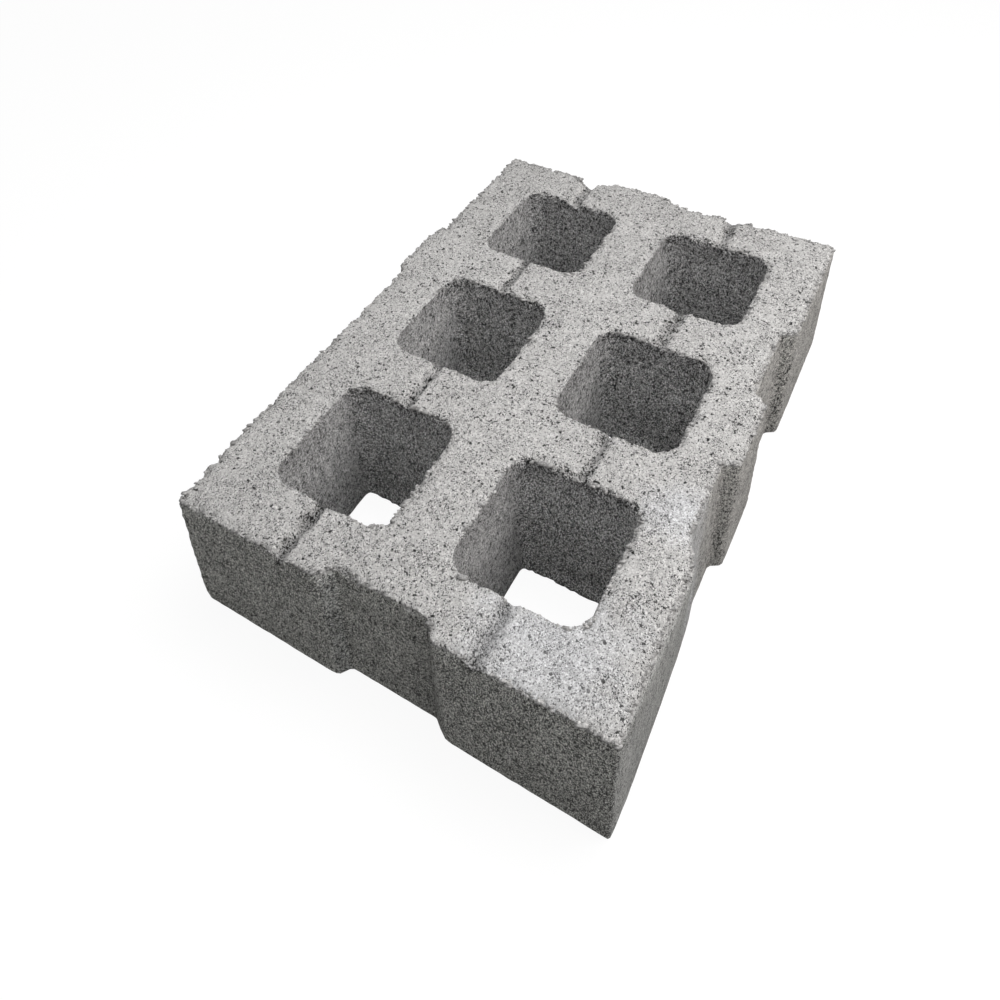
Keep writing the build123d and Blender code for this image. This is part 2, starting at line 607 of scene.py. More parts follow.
def round_right_rim(s, points):
    """Rounds the top right rim by drawing its points in towards the middle of the round."""
    x = points[:, 0]
    share = np.interp(x, np.array(RIGHT_ROUND_X) * MM, RIGHT_ROUND_SHARE)
    radius = s.right_round * share * (0.9 + 0.3 * field(points, 45 * MM, 1))
    in_from_edge = points[:, 1] + s.width / 2 - right_edge(s, x)
    drop = s.height - points[:, 2]
    across, down = radius - in_from_edge, radius - drop
    away = np.hypot(across, down)
    moves = (across > 0) & (down > 0) & (away > radius) & (in_from_edge > -4 * MM)
    pull = np.where(moves, 1 - radius / np.maximum(away, MM), 0)
    points[:, 1] += across * pull
    points[:, 2] -= down * pull


def wear_end_mouth(s, points):
    """Blunts the right mouth of the end recess towards the bed, where the photo shows a shaded flank."""
    y, low = points[:, 1], 1 - points[:, 2] / s.height
    still = along_profile(y, MOUTH_Y, MOUTH_STILL_BED)
    run = mouth_run(s)
    depth = s.recess_depth - s.recess_lean
    mouth_y = -s.recess_mouth / 2 + s.recess_lean * math.hypot(run, 1)
    sound = np.clip((y - mouth_y) / run, 0, depth)
    worn = (y > MOUTH_Y[0] * MM) & (y < MOUTH_Y[-1] * MM)
    points[:, 0] += np.where(worn, still - sound, 0) * side_share(points[:, 0], s.length) * low


def far_edge_plan(s):
    """The far end's sound top edge: y and x of its corners."""
    half = s.length / 2
    reach = s.key_reach - s.key_lean
    y = [s.end_key_offset + share * size / 2 for share, size in (
        (-1, s.key_base), (-1, s.key_crest), (1, s.key_crest), (1, s.key_base))]
    return y, [half, half + reach, half + reach, half]


def near(distance, reach):
    """1 at no distance, falling smoothly to about a third at the reach."""
    return np.exp(-((distance / reach) ** 2))


def pitted(points, line, count, spread, rng):
    """Depth of the holes that grains have left along a line of points."""
    tree = search_tree(points)
    depth = np.zeros(len(points))
    for _ in range(count):
        radius = rng.uniform(1.6, 4.0) * MM
        seat = line[rng.integers(len(line))] + rng.normal(0, spread, 3) * (1, 1, 0.5)
        for _, number, distance in tree.find_range(seat, radius):
            bowl = radius * (1 - (distance / radius) ** 2)
            depth[number] = max(depth[number], 0.85 * bowl)
    return depth


def relief(s, points, normals, rng):
    """How far each vertex moves along its normal, in metres."""
    rim_points, upright_points = rim_line(s), upright_line(s)
    wear_ends(s, rim_points)
    top = soft_step(0.6, 0.95, normals[:, 2])
    bed = soft_step(0.6, 0.95, -normals[:, 2])
    rim = distance_to(points, rim_points)
    upright = distance_to(points * (1, 1, 0), upright_points)
    broad = field(points, 45 * MM, 1)
    lumps = field(points, 9 * MM, 2)
    grains = field(points, 3.3 * MM, 3)
    moved = 0.25 * MM * broad
    moved += s.grain_relief * top * (0.5 * lumps + 0.9 * grains)
    moved += (1 - top) * (0.26 * MM * lumps + 0.12 * MM * grains)
    right_side = soft_step(-0.170, -0.182, points[:, 1])
    kept = np.maximum(right_side * np.where(points[:, 0] < 0, 0.85, 0.5), 0.65 * whole_cell_rims(s, points))
    bites = 0.45 + 1.5 * np.abs(lumps) + 0.9 * np.abs(field(points, 4.2 * MM, 4))
    moved -= s.rim_crumble * near(rim, 3.4 * MM) * bites * (1 - kept)
    chips = soft_step(0.1, 0.4, field(points, 10 * MM, 5)) * near(rim, 4.5 * MM)
    moved -= 2.6 * MM * chips * (1 - kept)
    rim_pits = pitted(points, rim_points, s.pits, 1.6 * MM, rng)
    groove_pits = pitted(points, groove_line(s), s.groove_pits, 3.2 * MM, rng)
    moved -= np.maximum(rim_pits * (1 - kept), groove_pits) * (1 - bed)
    burr = CORE_BURR * (0.9 + 0.3 * lumps + 0.5 * grains)
    moved += burr * near(points[:, 2], 7 * MM) * far_cell_walls(s, points, normals)
    corner = near(upright, 3.5 * MM) * (1 - top)
    moved -= corner * (0.1 * MM + 1.9 * MM * np.abs(field(points, 10 * MM, 6)))
    moved[bed > 0.5] = 0.0
    return moved


def whole_cell_rims(s, points):
    """1 along the near and the left rim of each cell, which have kept their edge, and 0 elsewhere."""
    half_x, half_y = cell_size(s)[0] / 2, cell_size(s)[1] / 2
    found = np.zeros(len(points))
    for x, y in cell_places(s):
        to_x, to_y = points[:, 0] - x, points[:, 1] - y
        near_rim = (np.abs(to_x + half_x) < 8 * MM) & (np.abs(to_y) < half_y)
        left_rim = (np.abs(to_y - half_y) < 8 * MM) & (np.abs(to_x) < half_x)
        found[near_rim | left_rim] = 1.0
    return found


def far_cell_walls(s, points, normals):
    """1 on the cell walls that look back to the near end, and 0 elsewhere."""
    within_x = np.abs(points[:, 0]) < s.length / 2 - s.end_web / 2
    within_y = np.abs(points[:, 1]) < s.width / 2 - s.side_web / 2
    return soft_step(0.5, 0.9, -normals[:, 0]) * (within_x & within_y)


def groove_line(s):
    """Points along the bottoms of the grooves, across the webs."""
    half_cell = cell_size(s)[0] / 2
    x = np.arange(-s.length / 2, s.length / 2, 1.5 * MM)
    middles = np.array(sorted({place[0] for place in cell_places(s)}))
    on_web = np.abs(x[:, None] - middles[None, :]).min(1) > half_cell
    x = x[on_web]
    up = np.full(len(x), s.height - 0.5 * s.groove_depth)
    return np.concatenate([np.column_stack([x, np.full(len(x), y), up]) for y in groove_rows(s)])


def make_mesh(name, points, faces):
    """A smooth-shaded mesh object from points and faces."""
    mesh = bpy.data.meshes.new(name)
    mesh.from_pydata([tuple(p) for p in points], [], faces)
    mesh.update()
    mesh.shade_smooth()
    obj = bpy.data.objects.new(name, mesh)
    bpy.context.scene.collection.objects.link(obj)
    return obj


def vertex_normals(mesh):
    """Vertex normals as an array."""
    values = np.zeros(len(mesh.vertices) * 3, np.float32)
    mesh.vertices.foreach_get("normal", values)
    return values.reshape(-1, 3).astype(float)


def rim_line(s):
    """Points along every top rim, at the middle of its round."""
    lines = []
    for outline in all_outlines(s):
        plan = ring(s, outline, ring_counts(s, outline, s.rim_spacing), 0.8 * MM, 0.8 * MM)
        lines.append(np.column_stack([plan, np.full(len(plan), s.height - 0.8 * MM)]))
    return np.concatenate(lines)


def upright_line(s):
    """Plan points of the convex upright corners of the outline."""
    outline = slab_outline(s)
    total = len(outline)
    corners = []
    for i, (corner, _) in enumerate(outline):
        before = corner - outline[i - 1][0]
        after = outline[(i + 1) % total][0] - corner
        if before.cross(after) > 0:
            corners.append((corner.x, corner.y, 0.0))
    return np.array(corners)


# Sand grains in the rims

def grit_hosts(s, points):
    """Numbers of the vertices that grains may sit on: near a rim, and few on the rims that are whole."""
    rim_points = rim_line(s)
    wear_ends(s, rim_points)
    hosts = np.flatnonzero(distance_to(points, rim_points) < 3.2 * MM)
    draws = np.random.default_rng(s.seed + 2).random(len(hosts))
    return hosts[draws >= 0.7 * whole_cell_rims(s, points[hosts])]


def round_grain():
    """Points and faces of a rough ball of one metre radius."""
    ball = bmesh.new()
    bmesh.ops.create_icosphere(ball, subdivisions=1, radius=1.0)
    shape = np.array([v.co for v in ball.verts])
    corners = [[v.index for v in face.verts] for face in ball.faces]
    ball.free()
    return shape, corners


def seated_grain(g, shape, place, normal, rng):
    """The points of one grain of its own size and form, turned at random and sunk where it sits."""
    radius = g.smallest + (g.largest - g.smallest) * rng.random() ** 2.2
    stretch_by = np.array([rng.uniform(0.75, 1.25) for _ in range(3)])
    wobble = np.array([[rng.uniform(0.86, 1.14)] for _ in shape])
    turn = Quaternion(Vector([rng.random() for _ in range(4)]).normalized())
    seat = place - normal * radius * rng.uniform(0.3, 0.8)
    return (shape * wobble * stretch_by * radius) @ np.array(turn.to_matrix()).T + seat


# Shader node helpers

def new_group(name, inputs, outputs):
    """An empty node group with float inputs and named outputs."""
    group = bpy.data.node_groups.new(name, "ShaderNodeTree")
    for label, default in inputs:
        socket = group.interface.new_socket(label, in_out="INPUT", socket_type="NodeSocketFloat")
        socket.default_value = default
    for label in outputs:
        group.interface.new_socket(label, in_out="OUTPUT", socket_type="NodeSocketFloat")
    start = group.nodes.new("NodeGroupInput")
    end = group.nodes.new("NodeGroupOutput")
    return group, start.outputs, end


def new_material(name):
    """A material, its node tree and its Principled shader."""
    material = bpy.data.materials.new(name)
    material.use_nodes = True
    return material, material.node_tree, material.node_tree.nodes["Principled BSDF"]


def add_node(tree, kind, **settings):
    """A node with its settings."""
    node = tree.nodes.new(kind)
    for key, value in settings.items():
        setattr(node, key, value)
    return node


def feed(tree, source, node, socket):
    """Links an output, or sets a plain value, on a named or numbered input."""
    target = node.inputs[socket]
    if isinstance(source, bpy.types.NodeSocket):
        tree.links.new(source, target)
    else:
        target.default_value = source


def feed_all(tree, node, sources):
    """Feeds several inputs, each given by its name or its number."""
    for socket, source in sources.items():
        feed(tree, source, node, socket)


def maths(tree, operation, first, second=0.0, clamp=False):
    """A maths node's output."""
    node = add_node(tree, "ShaderNodeMath", operation=operation, use_clamp=clamp)
    feed_all(tree, node, {0: first, 1: second})
    return node.outputs[0]


def chained(tree, operation, values):
    """One maths operation run through all the values in order."""
    result = values[0]
    for value in values[1:]:
        result = maths(tree, operation, result, value)
    return result


def product(tree, *values):
    """All the values multiplied."""
    return chained(tree, "MULTIPLY", values)


def total(tree, *values):
    """All the values added up."""
    return chained(tree, "ADD", values)


def highest(tree, *values):
    """The highest of the values."""
    return chained(tree, "MAXIMUM", values)


def rest_of(tree, share):
    """What a share leaves of one."""
    return maths(tree, "SUBTRACT", 1.0, share)


def vector_maths(tree, operation, first, second):
    """A vector maths node's output; SCALE takes a plain value as its second."""
    node = add_node(tree, "ShaderNodeVectorMath", operation=operation)
    feed_all(tree, node, {0: first, "Scale" if operation == "SCALE" else 1: second})
    return node.outputs[0]


def stretch(tree, value, low, high, new_low=0.0, new_high=1.0, smooth=False):
    """A value from one range brought into another, and held within it."""
    kind = "SMOOTHSTEP" if smooth else "LINEAR"
    node = add_node(tree, "ShaderNodeMapRange", interpolation_type=kind)
    feed_all(tree, node, {
        "Value": value, "From Min": low, "From Max": high, "To Min": new_low, "To Max": new_high})
    return node.outputs["Result"]


def blend_value(tree, share, first, second):
    """A value between two, by a share from 0 to 1."""
    node = add_node(tree, "ShaderNodeMix", data_type="FLOAT")
    feed_all(tree, node, {0: share, 2: first, 3: second})
    return node.outputs[0]


def blend_colour(tree, share, first, second):
    """A colour between two, by a share from 0 to 1."""
    node = add_node(tree, "ShaderNodeMix", data_type="RGBA")
    feed_all(tree, node, {0: share, 6: first, 7: second})
    return node.outputs[2]


def place_group(tree, group, **values):
    """A group node's outputs, with its inputs set or linked."""
    node = add_node(tree, "ShaderNodeGroup", node_tree=group)
    for label, value in values.items():
        feed(tree, value, node, label.replace("_", " "))
    return node.outputs


def noise_node(tree, place, scale, detail=2.0, rough=0.5, warp=0.0, output="Fac"):
    """A 3D noise node's output, fed with a place and a scale."""
    node = add_node(tree, "ShaderNodeTexNoise", noise_dimensions="3D")
    feed_all(tree, node, {
        "Vector": place, "Scale": scale, "Detail": detail, "Roughness": rough, "Distortion": warp})
    return node.outputs[output]


def either_way(tree, value):
    """The middle band of a noise, spread out from -1 to 1."""
    return stretch(tree, value, 0.3, 0.7, -1.0, 1.0)


def object_place(tree):
    """The object's own coordinates, in metres."""
    return add_node(tree, "ShaderNodeTexCoord").outputs["Object"]


def squeezed_place(tree, upright):
    """The object's own coordinates with the upright one scaled, so that a pattern on them is taller."""
    node = add_node(tree, "ShaderNodeMapping")
    feed_all(tree, node, {"Vector": object_place(tree), "Scale": (1.0, 1.0, upright)})
    return node.outputs[0]


def axes_of(tree, vector):
    """X, Y and Z of a vector, by name."""
    split = add_node(tree, "ShaderNodeSeparateXYZ")
    feed(tree, vector, split, 0)
    return split.outputs


def add_bump(tree, shader, height, distance, strength):
    """Relief finer than the mesh, through the shader's normal."""
    bump = add_node(tree, "ShaderNodeBump")
    feed_all(tree, bump, {"Height": height, "Distance": distance, "Strength": strength})
    feed(tree, bump.outputs["Normal"], shader, "Normal")


# Effects that materials share

def sand_group():
    """Sand grains of one size: a tone from 0 to 1 that changes from grain to grain, and a domed height."""
    inputs = [("Grains per metre", 600.0), ("Raggedness", 0.5)]
    group, start, end = new_group("Sand grains", inputs, ["Tone", "Height"])
    density = start["Grains per metre"]
    place = squeezed_place(group, 0.7)
    wander = noise_node(group, place, density, 1.0, output="Color")
    centred = vector_maths(group, "SUBTRACT", wander, (0.5, 0.5, 0.5))
    reach = maths(group, "DIVIDE", start["Raggedness"], density)
    ragged = vector_maths(group, "ADD", place, vector_maths(group, "SCALE", centred, reach))
    cells = add_node(group, "ShaderNodeTexVoronoi", feature="F1")
    feed_all(group, cells, {"Vector": ragged, "Scale": density})
    split = add_node(group, "ShaderNodeSeparateColor")
    feed(group, cells.outputs["Color"], split, 0)
    tone = split.outputs[0]
    dome = maths(group, "SUBTRACT", 1.0, cells.outputs["Distance"], clamp=True)
    lift = stretch(group, tone, 0.0, 0.35)
    feed_all(group, end, {"Tone": tone, "Height": product(group, total(group, dome, lift), 0.5)})
    return group


def mottle_group():
    """Slow changes across a face, from -1 to 1 about a middle of 0."""
    group, start, end = new_group("Mottle", [("Patches per metre", 12.0)], ["Tone"])
    value = noise_node(group, object_place(group), start["Patches per metre"], 4.0, 0.6, 0.4)
    feed(group, either_way(group, value), end, "Tone")
    return group


def drag_group():
    """Upright streaks that the mould leaves as it is drawn off, from -1 to 1."""
    group, start, end = new_group("Mould drag", [("Streaks per metre", 250.0)], ["Tone"])
    value = noise_node(group, squeezed_place(group, 0.12), start["Streaks per metre"], 3.0, 0.6)
    feed(group, either_way(group, value), end, "Tone")
    return group


def bloom_group():
    """A ragged round blotch in plan, from its middle and its radius."""
    group, start, end = new_group("Lime blotch", [("X", 0.0), ("Y", 0.0), ("Radius", 0.04)], ["Mask"])
    vector = object_place(group)
    place = axes_of(group, vector)
    from_x = maths(group, "SUBTRACT", place["X"], start["X"])
    from_y = maths(group, "SUBTRACT", place["Y"], start["Y"])
    square = total(group, product(group, from_x, from_x), product(group, from_y, from_y))
    share = maths(group, "DIVIDE", maths(group, "SQRT", square), start["Radius"])
    edge = blend_value(group, noise_node(group, vector, 45.0, 4.0, 0.6), -0.6, 0.6)
    outside = stretch(group, total(group, share, edge), 0.2, 1.15, smooth=True)
    feed(group, rest_of(group, outside), end, "Mask")
    return group


GROUPS = {}


def shared_groups():
    """The shared node groups, built once."""
    if not GROUPS:
        GROUPS.update(sand=sand_group(), mottle=mottle_group(), drag=drag_group(), bloom=bloom_group())
    return GROUPS


# Finishes

# Grains, streaks and patches to the metre
FINE_GRAINS = 1320.0
COARSE_GRAINS = 520.0
PORE_GRAINS = 1300.0
GRIT_GRAINS = 210.0
DUST_GRAINS = 820.0
DRAG_STREAKS = 260.0
SLOW_PATCHES = 9.0
CLOUD_PATCHES = 42.0
# How much dull concrete reflects, as a Specular IOR Level
DULL = 0.25
# Lime blotches on the top face: middle in plan and radius, in metres
LIME_BLOTCHES = ((-0.112, -0.172, 0.036), (-0.258, -0.128, 0.075))


class Spot:
    """What the cast finish knows of a spot: its place, the way it faces and the kind of face it is on."""

    def __init__(self, tree):
        block = bpy.context.scene.paver_block
        self.place = axes_of(tree, object_place(tree))
        self.facing = axes_of(tree, add_node(tree, "ShaderNodeNewGeometry").outputs["Normal"])
        # 1 on the top face; 1 on the walls of cells, inside the slab's border of webs
        self.top = stretch(tree, self.facing["Z"], 0.2, 0.7, smooth=True)
        self.inner = product(tree, *(
            maths(tree, "LESS_THAN", maths(tree, "ABSOLUTE", self.place[axis]), size / 2 - web / 2)
            for axis, size, web in (
                ("X", block.length, block.end_web), ("Y", block.width, block.side_web))))
        self.outer = rest_of(tree, self.inner)
        # A cloud from 0 to 1 that changes the grain from patch to patch
        cloud = place_group(tree, shared_groups()["mottle"], Patches_per_metre=CLOUD_PATCHES)
        self.cloud = stretch(tree, cloud["Tone"], -1.0, 1.0)


def groove_mask(tree, spot):
    """Up to 1 at the bottoms of the water grooves, in patches past the near end, and 0 away from them."""
    block = bpy.context.scene.paver_block
    vector = object_place(tree)
    x, y, z = (spot.place[axis] for axis in "XYZ")
    on_left = stretch(tree, y, -1 * MM, 1 * MM)
    wander = blend_value(tree, noise_node(tree, vector, 75.0), -8 * MM, 8 * MM)
    mirrored = total(tree, maths(tree, "ABSOLUTE", y), wander)
    away = maths(tree, "ABSOLUTE", maths(tree, "SUBTRACT", mirrored, groove_rows(block)[-1]))
    reach = blend_value(tree, on_left, 10.5 * MM, 8.5 * MM)
    narrow = rest_of(tree, stretch(tree, away, 1.0 * MM, reach, smooth=True))
    high = stretch(tree, z, block.height - 16 * MM, block.height - 9 * MM)
    patches = stretch(tree, noise_node(tree, vector, 40.0), 0.42, 0.56, 0.3, 1.0)
    patches = product(tree, patches, maths(tree, "GREATER_THAN", x, -0.25))
    near_end = maths(tree, "LESS_THAN", x, block.end_web - block.length / 2 + 8 * MM)
    near_end = product(tree, near_end, blend_value(tree, on_left, 0.65, 1.0))
    return product(tree, narrow, high, highest(tree, patches, near_end))


def swing_of(tree, tone, reach):
    """A tone from 0 to 1 as a swing either way, of the given reach in all."""
    return product(tree, maths(tree, "SUBTRACT", tone, 0.5), reach)


def below(tree, tone, limit, edge):
    """1 where a tone is under the limit, 0 over it, with a narrow edge."""
    return rest_of(tree, stretch(tree, tone, limit, total(tree, limit, edge)))


def ground_colour(tree, spot, settings):
    """The paste's colour under its grain, and how much of a lime blotch lies on it."""
    on_side = stretch(tree, spot.facing["Y"], -0.3, -0.8)
    far_part = stretch(tree, spot.place["X"], -0.16, -0.05)
    formed = blend_colour(tree, far_part, (*settings.formed_near, 1), (*settings.formed, 1))
    formed = blend_colour(tree, on_side, (*settings.formed_end, 1), formed)
    walls = blend_colour(tree, spot.inner, formed, (*settings.cored, 1))
    ground = blend_colour(tree, spot.top, walls, (*settings.paste, 1))
    blotches = [
        place_group(tree, shared_groups()["bloom"], X=x, Y=y, Radius=radius)["Mask"]
        for x, y, radius in LIME_BLOTCHES
    ]
    reached = highest(tree, spot.top, product(tree, on_side, spot.outer))
    bloom = product(tree, highest(tree, *blotches), reached)
    return blend_colour(tree, product(tree, bloom, 0.6), ground, (*settings.bloom, 1)), bloom


def grain_light(tree, spot, fine, coarse):
    """How light each grain is: 2 to the power of its swing on the top, in step with it on the walls."""
    along = spot.place["X"]
    slow = place_group(tree, shared_groups()["mottle"], Patches_per_metre=SLOW_PATCHES)
    drag = place_group(tree, shared_groups()["drag"], Streaks_per_metre=DRAG_STREAKS)
    # Faces turned along X get a wider swing: painted shading of the grain's relief, as grazing light would
    # give it
    wall_swing = stretch(tree, maths(tree, "ABSOLUTE", spot.facing["X"]), 0.2, 0.9, 2.1, 4.1)
    clear_of_ends = stretch(tree, maths(tree, "ABSOLUTE", along), 0.285, 0.27)
    calm = product(tree, clear_of_ends, spot.outer)
    wall_swing = product(tree, wall_swing, blend_value(tree, calm, 1.0, 0.62))
    open_swing = blend_value(tree, spot.cloud, 1.42, 0.6)
    coarse_swing = stretch(tree, along, -0.12, 0.06, 0.4, 1.3)
    swing = total(
        tree,
        swing_of(tree, fine["Tone"], blend_value(tree, spot.top, wall_swing, open_swing)),
        swing_of(tree, coarse["Tone"], blend_value(tree, spot.top, coarse_swing, 0.45)),
        product(tree, slow["Tone"], 0.08),
        blend_value(tree, spot.cloud, -0.1, 0.1),
        product(tree, drag["Tone"], blend_value(tree, spot.top, 0.28, 0.0)),
    )
    even = highest(tree, total(tree, 1.0, product(tree, swing, 0.7)), 0.15)
    return blend_value(tree, spot.top, even, maths(tree, "POWER", 2.0, swing))


def dark_pores(tree, spot, coarse, groove, bloom):
    """Up to 1 in the pores between grains and in the larger holes, and 0 on the paste."""
    rim = bpy.context.scene.paver_block.height
    along = spot.place["X"]
    # Cell walls that look back are more open just under the rim, where crumbs have come away; the dark
    # pores there also paint the shade under the rim
    looks_back = stretch(tree, spot.facing["X"], -0.25, -0.6)
    under_rim = stretch(tree, spot.place["Z"], rim - 11 * MM, rim - 3 * MM)
    crumbs_and_rim_shade = product(tree, spot.inner, looks_back, under_rim)
    cells = place_group(tree, shared_groups()["sand"], Grains_per_metre=PORE_GRAINS, Raggedness=1.2)
    open_share = blend_value(tree, spot.cloud, 0.22, 0.03)
    pore_limit = total(tree, open_share, product(tree, groove, 0.19), product(tree, crumbs_and_rim_shade, 0.25))
    pores = below(tree, cells["Tone"], pore_limit, 0.03)
    top_holes = stretch(tree, along, -0.25, 0.1, 0.012, 0.04)
    wall_holes = stretch(tree, along, -0.1, 0.05, 0.018, 0.065)
    hole_share = blend_value(tree, spot.top, wall_holes, top_holes)
    hole_limit = total(tree, hole_share, product(tree, groove, 0.12), product(tree, crumbs_and_rim_shade, 0.3))
    holes = below(tree, coarse["Tone"], hole_limit, 0.02)
    depth = blend_value(tree, spot.top, 0.7, 0.92)
    return product(tree, highest(tree, pores, holes), depth, blend_value(tree, bloom, 1.0, 0.75))


def painted_wall_shade(tree, spot):
    """How much painted light and shade lighten or darken a wall, by its place and the way it faces; 1 on
    the top face.
    """
    block = bpy.context.scene.paver_block
    end = -block.length / 2
    x, y, z = (spot.place[axis] for axis in "XYZ")
    at_end = maths(tree, "LESS_THAN", x, end + 20 * MM)
    # Painted shade darkens cell walls under the rim; painted light lightens those that look back towards
    # the near end
    under_rim = stretch(tree, z, block.height - 45 * MM, block.height, 1.0, 0.66)
    looks_back = stretch(tree, spot.facing["X"], -0.3, -0.8)
    by_place = stretch(tree, x, -0.12, 0.24, 1.24, 0.84)
    cell_wall = product(tree, under_rim, blend_value(tree, looks_back, 1.0, by_place))
    # Painted shade on the outer faces: flanks in the right half that turn to the left, away from the side
    # lamp, are dark
    flank = product(
        tree, stretch(tree, spot.facing["Y"], 0.15, 0.45), maths(tree, "LESS_THAN", y, 0.0), 0.34)
    # Painted shadow on the end recess's floor, darker to the right, and painted light on its left flank
    behind = stretch(tree, x, end + 6 * MM, end + 10 * MM)
    floor = product(tree, behind, stretch(tree, spot.facing["X"], -0.65, -0.85), at_end)
    sheltered = product(tree, floor, stretch(tree, y, -0.012, -0.042, 0.07, 0.3))
    lit = product(
        tree, stretch(tree, spot.facing["Y"], -0.3, -0.7), at_end, stretch(tree, y, 0.0, 10 * MM))
    # Outer faces: these painted shades, and painted light that grows from the bed towards the top
    outer_wall = product(
        tree, rest_of(tree, flank), rest_of(tree, sheltered), blend_value(tree, lit, 1.0, 1.3),
        stretch(tree, z, 0.0, block.height, 0.94, 1.14))
    return blend_value(tree, spot.top, blend_value(tree, spot.inner, outer_wall, cell_wall), 1.0)


def cast_finish(settings):
    """Open-grained concrete: pale and pitted on top, darker and finer where the mould formed it, with
    painted light and shade on the walls and painted shade in the grooves.
    """
    material, tree, shader = new_material("cast_concrete")
    spot = Spot(tree)
    sand = shared_groups()["sand"]
    fine = place_group(tree, sand, Grains_per_metre=FINE_GRAINS, Raggedness=0.9)
    coarse = place_group(tree, sand, Grains_per_metre=COARSE_GRAINS, Raggedness=1.2)
    groove = groove_mask(tree, spot)
    ground, bloom = ground_colour(tree, spot, settings)
    dark = dark_pores(tree, spot, coarse, groove, bloom)
    # The grooves are darker: partly silt that has settled, partly painted shade in the crease
    silt_and_painted_shade = product(tree, groove, blend_value(tree, spot.cloud, 0.5, 0.3))
    # The paste's colour times its grain and pores, the grooves' silt and painted shade, and the painted
    # light and shade of the walls
    light = product(
        tree, grain_light(tree, spot, fine, coarse), rest_of(tree, dark), rest_of(tree, silt_and_painted_shade),
        painted_wall_shade(tree, spot))
    feed_all(tree, shader, {
        "Base Color": vector_maths(tree, "SCALE", ground, light),
        "Roughness": blend_value(tree, fine["Tone"], 0.98, 0.86),
        "Specular IOR Level": DULL,
    })
    lumps = product(tree, coarse["Height"], blend_value(tree, spot.top, 0.4, 1.0))
    height = total(tree, product(tree, fine["Height"], 0.5), lumps, product(tree, dark, -0.5))
    add_bump(tree, shader, height, 0.8 * MM, 0.7)
    return material


def grit_finish(settings):
    """Coarse sand grains dusted with cement."""
    material, tree, shader = new_material("rim_grit")
    sand = shared_groups()["sand"]
    grain = place_group(tree, sand, Grains_per_metre=GRIT_GRAINS, Raggedness=0.2)
    dust = place_group(tree, sand, Grains_per_metre=DUST_GRAINS, Raggedness=0.7)
    grain_swing = blend_value(tree, grain["Tone"], -0.6, 0.08)
    dust_swing = blend_value(tree, dust["Tone"], -0.8, 0.5)
    light = maths(tree, "POWER", 2.0, total(tree, grain_swing, dust_swing))
    feed_all(tree, shader, {
        "Base Color": vector_maths(tree, "SCALE", settings.paste[:], light),
        "Roughness": 0.9,
        "Specular IOR Level": DULL,
    })
    add_bump(tree, shader, dust["Height"], 0.5 * MM, 0.6)
    return material


# Studio

# The floor's grey in bounced light, and its glow to the camera
FLOOR_PAINT = 0.12
FLOOR_GLOW = 0.92
# The side lamp's colour, where the lamps stand and what they aim at
SIDE_LIGHT = (1.0, 0.965, 0.94)
SIDE_PLACE = (0.35, -1.3, 0.95)
TOP_PLACE = (0.12, -0.16, 1.15)
LAMP_AIM = (0, 0, 0.07)


def seen_by_camera(tree):
    """1 for rays that carry what the camera sees, straight or by a mirror or glass, and 0 for the rest."""
    rays = add_node(tree, "ShaderNodeLightPath").outputs
    return highest(tree, rays["Is Camera Ray"], rays["Is Glossy Ray"], rays["Is Transmission Ray"])


def floor_finish():
    """White to the camera apart from the shadow, and dark grey to every other ray, so it lights nothing."""
    material, tree, shader = new_material("studio_floor")
    feed_all(tree, shader, {
        "Base Color": (FLOOR_PAINT, FLOOR_PAINT, FLOOR_PAINT, 1),
        "Emission Color": blend_colour(
            tree, seen_by_camera(tree), (0, 0, 0, 1), (FLOOR_GLOW, FLOOR_GLOW, FLOOR_GLOW, 1)),
        "Emission Strength": 1.0,
        "Roughness": 1.0,
        "Specular IOR Level": 0.0,
    })
    return material


def set_world(scene, level):
    """An even grey sky, seen as white."""
    world = bpy.data.worlds.new("studio_sky")
    scene.world = world
    world.use_nodes = True
    tree = world.node_tree
    strength = blend_value(tree, seen_by_camera(tree), level, 1.0)
    feed_all(tree, tree.nodes["Background"], {"Color": (1, 1, 1, 1), "Strength": strength})


def add_lamp(name, place, size, power):
    """A square area lamp aimed at the block."""
    data = bpy.data.lights.new(name, "AREA")
    data.shape = "SQUARE"
    data.size = size
    data.energy = power
    lamp = bpy.data.objects.new(name, data)
    bpy.context.scene.collection.objects.link(lamp)
    lamp.location = place
    lamp.rotation_euler = (Vector(LAMP_AIM) - Vector(place)).to_track_quat("-Z", "Y").to_euler()
    return lamp


def set_camera(scene, s):
    """The camera at the photograph's viewing angle."""
    data = bpy.data.cameras.new("camera")
    data.sensor_width = 36.0
    data.lens = s.camera_lens
    data.shift_x, data.shift_y = s.camera_shift
    camera = bpy.data.objects.new("camera", data)
    scene.collection.objects.link(camera)
    camera.location = s.camera_place
    camera.rotation_euler = s.camera_turn
    scene.camera = camera


# Operators

class PAVER_OT_cast_block(bpy.types.Operator):
    """Casts the block: plain shape, grooves, open grain and crumbled rims"""
    bl_idname = "paver.cast_block"
    bl_label = "Cast block"

    def execute(self, context):
        s = context.scene.paver_block
        rng = np.random.default_rng(s.seed)
        points, faces = cast_plain(s, rng)
        wear_ends(s, points)
        carve_grooves(s, points)
        block = make_mesh("cast_block", points, faces)
        normals = vertex_normals(block.data)
        moved = relief(s, points, normals, rng)
        points += normals * moved[:, None]
        points[:, 2] = np.maximum(points[:, 2], 0.0)
        block.data.vertices.foreach_set("co", points.astype(np.float32).ravel())
        block.data.update()
        block.data.materials.append(cast_finish(context.scene.paver_finish))
        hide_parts(NODE)
        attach(block, "root")
        return {"FINISHED"}


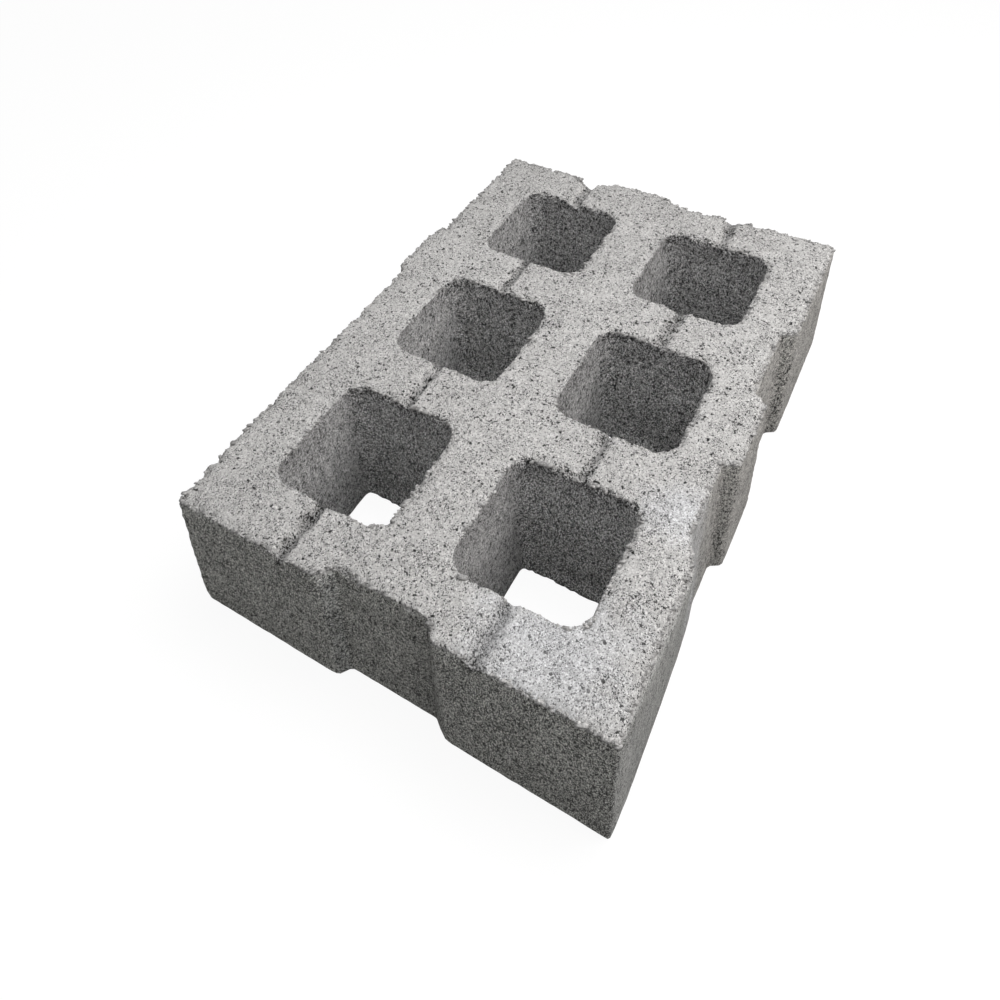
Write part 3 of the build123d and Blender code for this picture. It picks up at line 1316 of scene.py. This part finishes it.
class PAVER_OT_rim_grit(bpy.types.Operator):
    """Seats coarse sand grains in the crumbled rims"""
    bl_idname = "paver.rim_grit"
    bl_label = "Rim grit"

    def execute(self, context):
        block = bpy.data.objects.get("cast_block")
        if block is None:
            raise RuntimeError("Cast the block before its grit")
        s = context.scene.paver_block
        g = context.scene.paver_grit
        points = np.array([v.co for v in block.data.vertices])
        normals = vertex_normals(block.data)
        hosts = grit_hosts(s, points)
        shape, corners = round_grain()
        rng = random.Random(s.seed + 1)
        all_points, all_faces = [], []
        for number in range(g.count):
            host = hosts[rng.randrange(len(hosts))]
            all_points.append(seated_grain(g, shape, points[host], normals[host], rng))
            first = number * len(shape)
            all_faces += [tuple(first + k for k in corner) for corner in corners]
        grit = make_mesh("rim_grit", np.concatenate(all_points), all_faces)
        grit.data.materials.append(grit_finish(context.scene.paver_finish))
        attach(grit, "root")
        return {"FINISHED"}


class PAVER_OT_studio(bpy.types.Operator):
    """Sets the pale floor, the soft lamps and the camera"""
    bl_idname = "paver.studio"
    bl_label = "Studio"

    def execute(self, context):
        scene = context.scene
        s = scene.paver_stage
        scene.view_settings.view_transform = "Standard"
        bpy.ops.mesh.primitive_plane_add(size=40.0, location=(0, 0, 0))
        floor = context.object
        floor.name = "studio_floor"
        floor.data.materials.append(floor_finish())
        set_world(scene, s.sky_level)
        side_lamp = add_lamp("side_lamp", SIDE_PLACE, 1.2, s.side_power)
        side_lamp.data.color = SIDE_LIGHT
        add_lamp("top_lamp", TOP_PLACE, 0.65, s.top_power)
        set_camera(scene, s)
        return {"FINISHED"}


class PAVER_PT_panel(bpy.types.Panel):
    """Lists the block's settings and its steps"""
    bl_label = "Grass paver block"
    bl_idname = "PAVER_PT_panel"
    bl_space_type = "VIEW_3D"
    bl_region_type = "UI"
    bl_category = "Paver"

    def draw(self, context):
        scene = context.scene
        for title, settings, operator in (
            ("Casting", scene.paver_block, "paver.cast_block"),
            ("Rim grit", scene.paver_grit, "paver.rim_grit"),
            ("Finish", scene.paver_finish, None),
            ("Studio", scene.paver_stage, "paver.studio"),
        ):
            box = self.layout.box()
            box.label(text=title)
            for name in settings.bl_rna.properties.keys():
                if name not in ("rna_type", "name"):
                    box.prop(settings, name)
            if operator:
                box.operator(operator)


CLASSES = (
    PaverBlockSettings,
    PaverGritSettings,
    PaverFinishSettings,
    PaverStageSettings,
    PAVER_OT_cast_block,
    PAVER_OT_rim_grit,
    PAVER_OT_studio,
    PAVER_PT_panel,
)


def register():
    """Registers the classes and hangs the settings on the scene."""
    for cls in CLASSES:
        bpy.utils.register_class(cls)
    bpy.types.Scene.paver_block = PointerProperty(type=PaverBlockSettings)
    bpy.types.Scene.paver_grit = PointerProperty(type=PaverGritSettings)
    bpy.types.Scene.paver_finish = PointerProperty(type=PaverFinishSettings)
    bpy.types.Scene.paver_stage = PointerProperty(type=PaverStageSettings)


def unregister():
    """Takes the settings and the classes away again."""
    del bpy.types.Scene.paver_block
    del bpy.types.Scene.paver_grit
    del bpy.types.Scene.paver_finish
    del bpy.types.Scene.paver_stage
    for cls in reversed(CLASSES):
        bpy.utils.unregister_class(cls)


def main():
    """Builds the block and its studio."""
    register()
    bpy.ops.paver.cast_block()
    bpy.ops.paver.rim_grit()
    bpy.ops.paver.studio()


if __name__ == "__main__":
    main()
